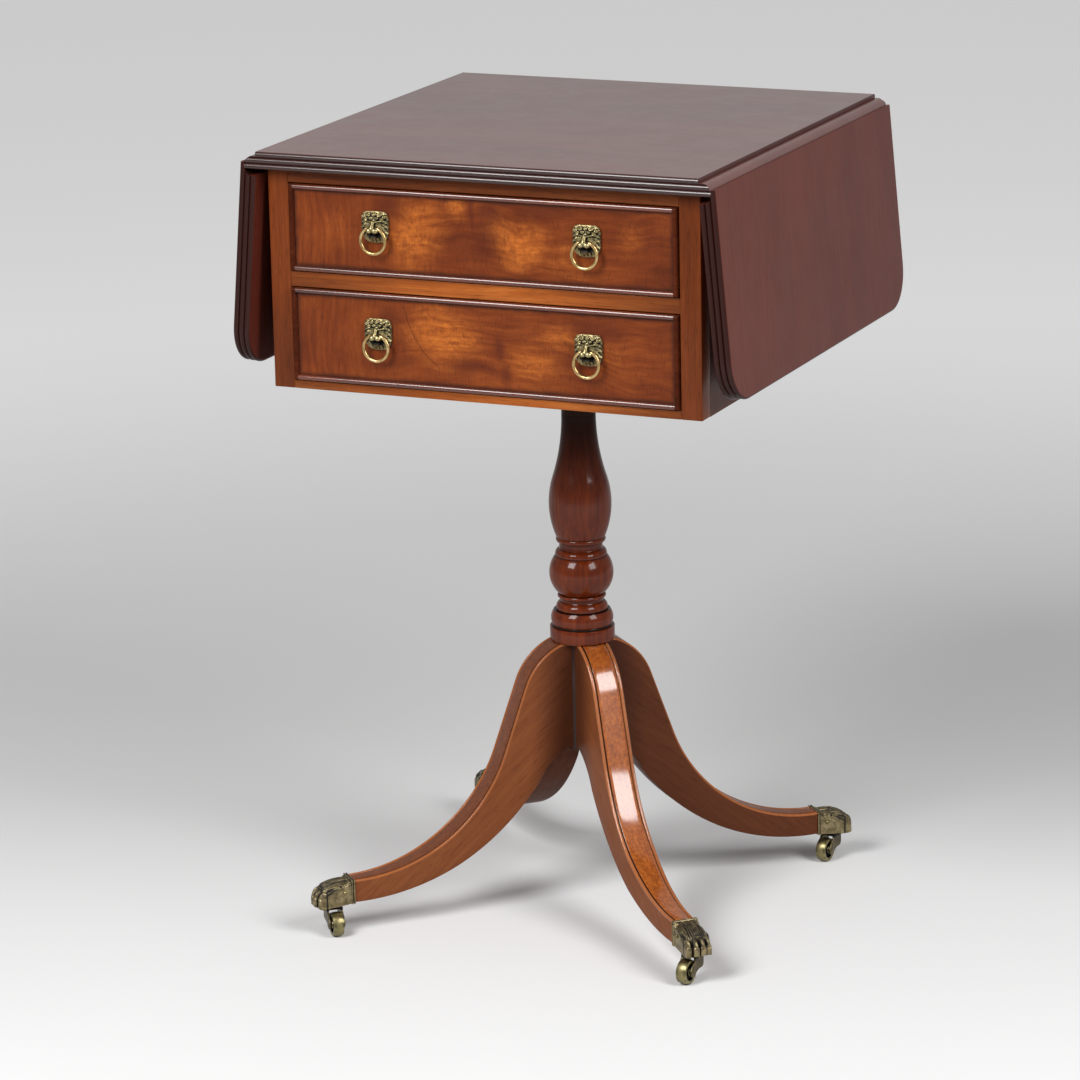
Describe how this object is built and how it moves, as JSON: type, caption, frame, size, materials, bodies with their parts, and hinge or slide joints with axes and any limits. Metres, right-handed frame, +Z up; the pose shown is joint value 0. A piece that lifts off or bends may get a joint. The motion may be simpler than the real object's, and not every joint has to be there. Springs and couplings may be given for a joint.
{
  "type": "work table",
  "caption": "Pedestal work table with drop leaves, stacked drawers with lion-mask ring pulls, a turned column and sabre legs on brass paw casters.",
  "frame": {"origin": "on the floor under the column's axis", "axes": "+X to the right along the drawer fronts, +Y to the back, +Z up"},
  "size_m": [0.4544, 0.418, 0.6954],
  "materials": {
    "top_wood": "satin polished mahogany",
    "case_wood": "polished mahogany",
    "front_wood": "polished flame mahogany veneer",
    "bead_wood": "polished dark mahogany",
    "turned_wood": "polished mahogany",
    "plain_wood": "bare oak and deal",
    "brass": "aged cast brass",
    "steel": "plain iron screws and pins"
  },
  "bodies": {
    "frame": {"table_top": "top_wood", "left_side": "case_wood", "right_side": "case_wood", "left_stile": "case_wood", "right_stile": "case_wood", "top_rail": "case_wood", "middle_rail": "case_wood", "bottom_rail": "case_wood", "column": "turned_wood", "front_left_leg": "turned_wood", "front_right_leg": "turned_wood", "back_left_leg": "turned_wood", "back_right_leg": "turned_wood", "back_panel": "plain_wood", "bottom_board": "plain_wood", "drawer_runners": "plain_wood", "lopers": "plain_wood", "loper_channels": "plain_wood", "column_block": "plain_wood", "front_left_paw_cap": "brass", "front_right_paw_cap": "brass", "back_left_paw_cap": "brass", "back_right_paw_cap": "brass", "cap_pins": "brass", "hinge_top_plates": "brass", "top_screws": "steel", "hinge_pins": "steel", "block_screws": "steel"},
    "left_leaf": {"left_leaf": "top_wood", "left_leaf_hinge_plates": "brass", "left_leaf_hinge_screws": "steel"},
    "right_leaf": {"right_leaf": "top_wood", "right_leaf_hinge_plates": "brass", "right_leaf_hinge_screws": "steel"},
    "upper_drawer": {"upper_drawer_front": "front_wood", "upper_drawer_sides": "plain_wood", "upper_drawer_back": "plain_wood", "upper_drawer_bottom": "plain_wood", "upper_drawer_cockbead": "bead_wood", "upper_drawer_pull_masks": "brass", "upper_drawer_pull_bolts": "brass"},
    "upper_drawer_left_ring": {"upper_drawer_left_ring": "brass"},
    "upper_drawer_right_ring": {"upper_drawer_right_ring": "brass"},
    "lower_drawer": {"lower_drawer_front": "front_wood", "lower_drawer_sides": "plain_wood", "lower_drawer_back": "plain_wood", "lower_drawer_bottom": "plain_wood", "lower_drawer_cockbead": "bead_wood", "lower_drawer_pull_masks": "brass", "lower_drawer_pull_bolts": "brass"},
    "lower_drawer_left_ring": {"lower_drawer_left_ring": "brass"},
    "lower_drawer_right_ring": {"lower_drawer_right_ring": "brass"},
    "front_left_fork": {"front_left_caster_fork": "brass"},
    "front_left_wheel": {"front_left_wheel": "brass"},
    "front_right_fork": {"front_right_caster_fork": "brass"},
    "front_right_wheel": {"front_right_wheel": "brass"},
    "back_left_fork": {"back_left_caster_fork": "brass"},
    "back_left_wheel": {"back_left_wheel": "brass"},
    "back_right_fork": {"back_right_caster_fork": "brass"},
    "back_right_wheel": {"back_right_wheel": "brass"}
  },
  "joints": [
    {"name": "left_leaf_hinge", "type": "hinge", "parent": "frame", "child": "left_leaf", "pos_m": [-0.2002, 0, 0.6834], "axis": [0, 1, 0], "range_deg": [0, 85]},
    {"name": "right_leaf_hinge", "type": "hinge", "parent": "frame", "child": "right_leaf", "pos_m": [0.2002, 0, 0.6834], "axis": [0, -1, 0], "range_deg": [0, 85]},
    {"name": "upper_drawer_slide", "type": "slide", "parent": "frame", "child": "upper_drawer", "axis": [0, -1, 0], "range_m": [0, 0.25]},
    {"name": "upper_drawer_left_ring_swing", "type": "hinge", "parent": "upper_drawer", "child": "upper_drawer_left_ring", "pos_m": [-0.095, -0.2014, 0.63505], "axis": [-1, 0, 0], "range_deg": [0, 95]},
    {"name": "upper_drawer_right_ring_swing", "type": "hinge", "parent": "upper_drawer", "child": "upper_drawer_right_ring", "pos_m": [0.095, -0.2014, 0.63505], "axis": [-1, 0, 0], "range_deg": [0, 95]},
    {"name": "lower_drawer_slide", "type": "slide", "parent": "frame", "child": "lower_drawer", "axis": [0, -1, 0], "range_m": [0, 0.25]},
    {"name": "lower_drawer_left_ring_swing", "type": "hinge", "parent": "lower_drawer", "child": "lower_drawer_left_ring", "pos_m": [-0.095, -0.2014, 0.54425], "axis": [-1, 0, 0], "range_deg": [0, 95]},
    {"name": "lower_drawer_right_ring_swing", "type": "hinge", "parent": "lower_drawer", "child": "lower_drawer_right_ring", "pos_m": [0.095, -0.2014, 0.54425], "axis": [-1, 0, 0], "range_deg": [0, 95]},
    {"name": "front_left_swivel", "type": "hinge", "parent": "frame", "child": "front_left_fork", "pos_m": [-0.16864, -0.16864, 0.03], "axis": [0, 0, 1], "continuous": true},
    {"name": "front_left_wheel_spin", "type": "hinge", "parent": "front_left_fork", "child": "front_left_wheel", "pos_m": [-0.16157, -0.17707, 0.0108], "axis": [0.766, 0.6428, 0], "continuous": true},
    {"name": "front_right_swivel", "type": "hinge", "parent": "frame", "child": "front_right_fork", "pos_m": [0.16864, -0.16864, 0.03], "axis": [0, 0, 1], "continuous": true},
    {"name": "front_right_wheel_spin", "type": "hinge", "parent": "front_right_fork", "child": "front_right_wheel", "pos_m": [0.1673, -0.17956, 0.0108], "axis": [0.9925, -0.1219, 0], "continuous": true},
    {"name": "back_left_swivel", "type": "hinge", "parent": "frame", "child": "back_left_fork", "pos_m": [-0.16864, 0.16864, 0.03], "axis": [0, 0, 1], "continuous": true},
    {"name": "back_left_wheel_spin", "type": "hinge", "parent": "back_left_fork", "child": "back_left_wheel", "pos_m": [-0.16999, 0.15773, 0.0108], "axis": [0.9925, -0.1219, 0], "continuous": true},
    {"name": "back_right_swivel", "type": "hinge", "parent": "frame", "child": "back_right_fork", "pos_m": [0.16864, 0.16864, 0.03], "axis": [0, 0, 1], "continuous": true},
    {"name": "back_right_wheel_spin", "type": "hinge", "parent": "back_right_fork", "child": "back_right_wheel", "pos_m": [0.1673, 0.15773, 0.0108], "axis": [0.9925, -0.1219, 0], "continuous": true}
  ]
}
